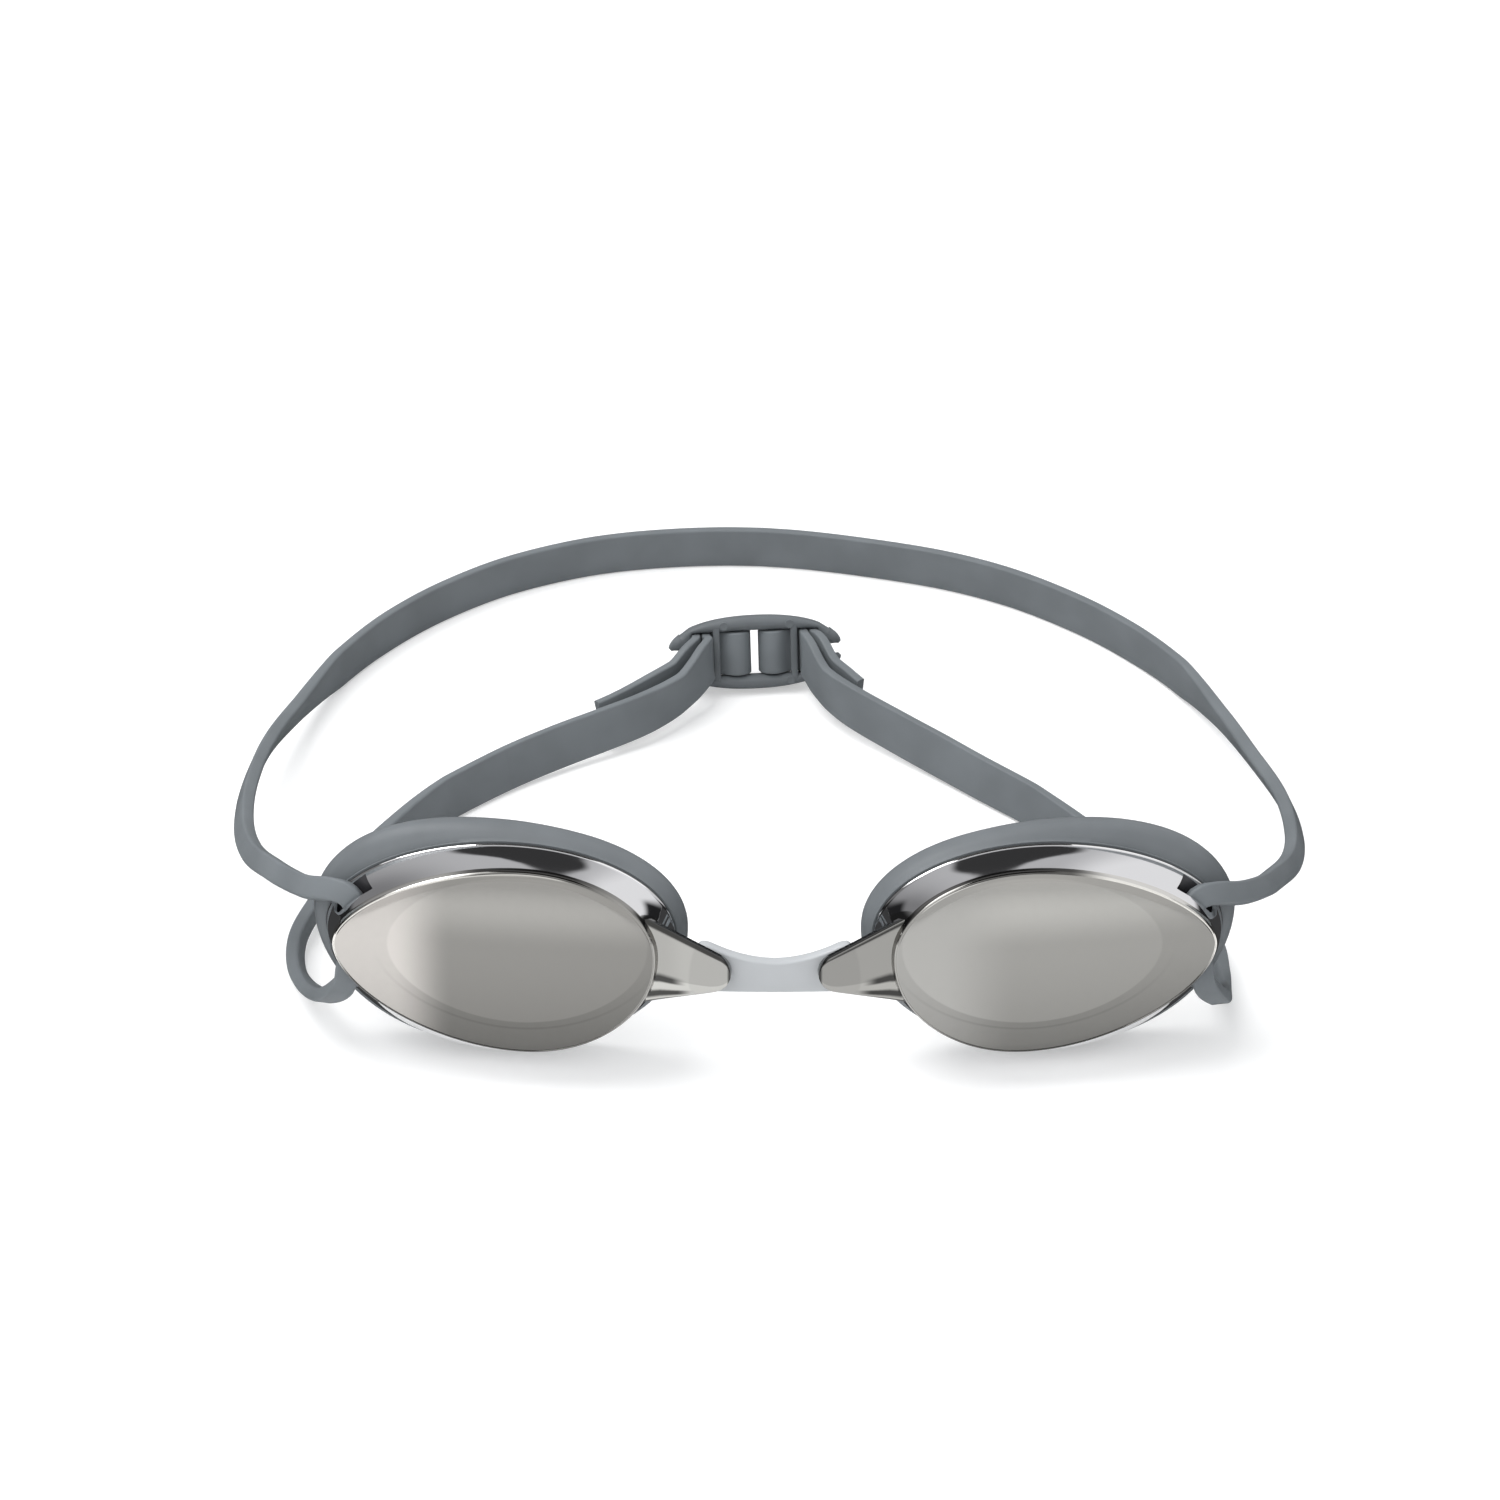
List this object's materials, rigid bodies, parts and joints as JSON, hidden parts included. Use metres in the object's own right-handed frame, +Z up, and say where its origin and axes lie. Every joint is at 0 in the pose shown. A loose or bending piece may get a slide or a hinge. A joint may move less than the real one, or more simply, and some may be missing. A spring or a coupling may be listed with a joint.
{
  "type": "swim goggles",
  "caption": "Mirrored swim goggles: eyecups with soft seals joined by a flexible nose bridge, and a looped silicone strap threaded through an oval buckle.",
  "frame": {"origin": "middle of the footprint on the ground plane that the goggles stand on", "axes": "+Z up, -Y the way the lenses look, +X to the right as seen from in front of the lenses"},
  "size_m": [0.2013, 0.1756, 0.0437],
  "materials": {
    "mirrored_lens": "mirror-coated polycarbonate",
    "seal_silicone": "satin",
    "bridge_plastic": "silver satin, flexible",
    "strap_silicone": "satin",
    "buckle_plastic": "satin"
  },
  "bodies": {
    "strap_and_bridge": {"nose_bridge": "bridge_plastic", "strap": "strap_silicone"},
    "left_eyecup": {"left_lens": "mirrored_lens", "left_gasket": "seal_silicone"},
    "right_eyecup": {"right_lens": "mirrored_lens", "right_gasket": "seal_silicone"},
    "buckle": {"buckle": "buckle_plastic"}
  },
  "joints": [
    {"name": "left_swing", "type": "hinge", "parent": "strap_and_bridge", "child": "left_eyecup", "pos_m": [-0.0115, -0.08089, 0.02328], "axis": [0, 0.2079, 0.9781], "range_deg": [-12, 6], "stiffness_Nm_per_rad": 0.05, "deforming": ["strap"]},
    {"name": "right_swing", "type": "hinge", "parent": "strap_and_bridge", "child": "right_eyecup", "pos_m": [0.0115, -0.08089, 0.02328], "axis": [0, 0.2079, 0.9781], "range_deg": [-6, 12], "stiffness_Nm_per_rad": 0.05, "deforming": ["strap"]},
    {"name": "buckle_shift", "type": "slide", "parent": "strap_and_bridge", "child": "buckle", "axis": [1, 0, 0], "range_m": [-0.01, 0.01], "deforming": ["strap"]}
  ]
}
